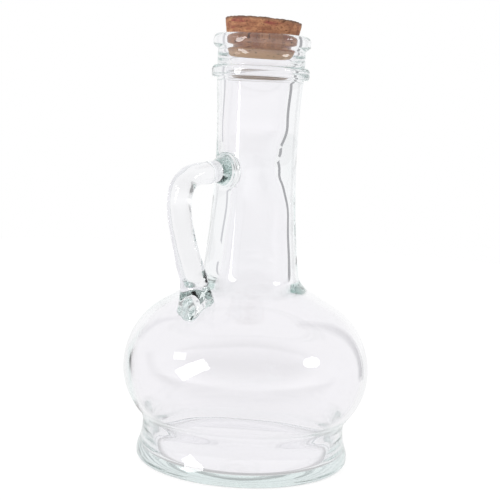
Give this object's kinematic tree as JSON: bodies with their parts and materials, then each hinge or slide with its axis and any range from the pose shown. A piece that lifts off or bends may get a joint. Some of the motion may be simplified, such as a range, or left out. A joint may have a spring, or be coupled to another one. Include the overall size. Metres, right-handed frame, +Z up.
{
  "type": "glass oil bottle",
  "caption": "Stoppered glass oil bottle: squat blown bulb on a flared foot, long neck with ring and lip, welded loop handle at the side and a tapered cork that lifts out of the mouth.",
  "frame": {"origin": "centre of the base ring, on the surface that the bottle stands on", "axes": "+Z up along the axis of the neck, handle on the -X side in the XZ plane"},
  "size_m": [0.126, 0.126, 0.2248],
  "materials": {
    "clear_glass": "clear blown recycled glass, fire polished, with a faint green tint where it is thick",
    "natural_cork": "cut natural cork, matt, with dark pores"
  },
  "bodies": {
    "bottle": {"bottle_body": "clear_glass", "handle": "clear_glass"},
    "stopper": {"cork_stopper": "natural_cork"}
  },
  "joints": [
    {"name": "cork_pull", "type": "slide", "parent": "bottle", "child": "stopper", "axis": [0, 0, 1], "range_m": [0, 0.045]}
  ]
}
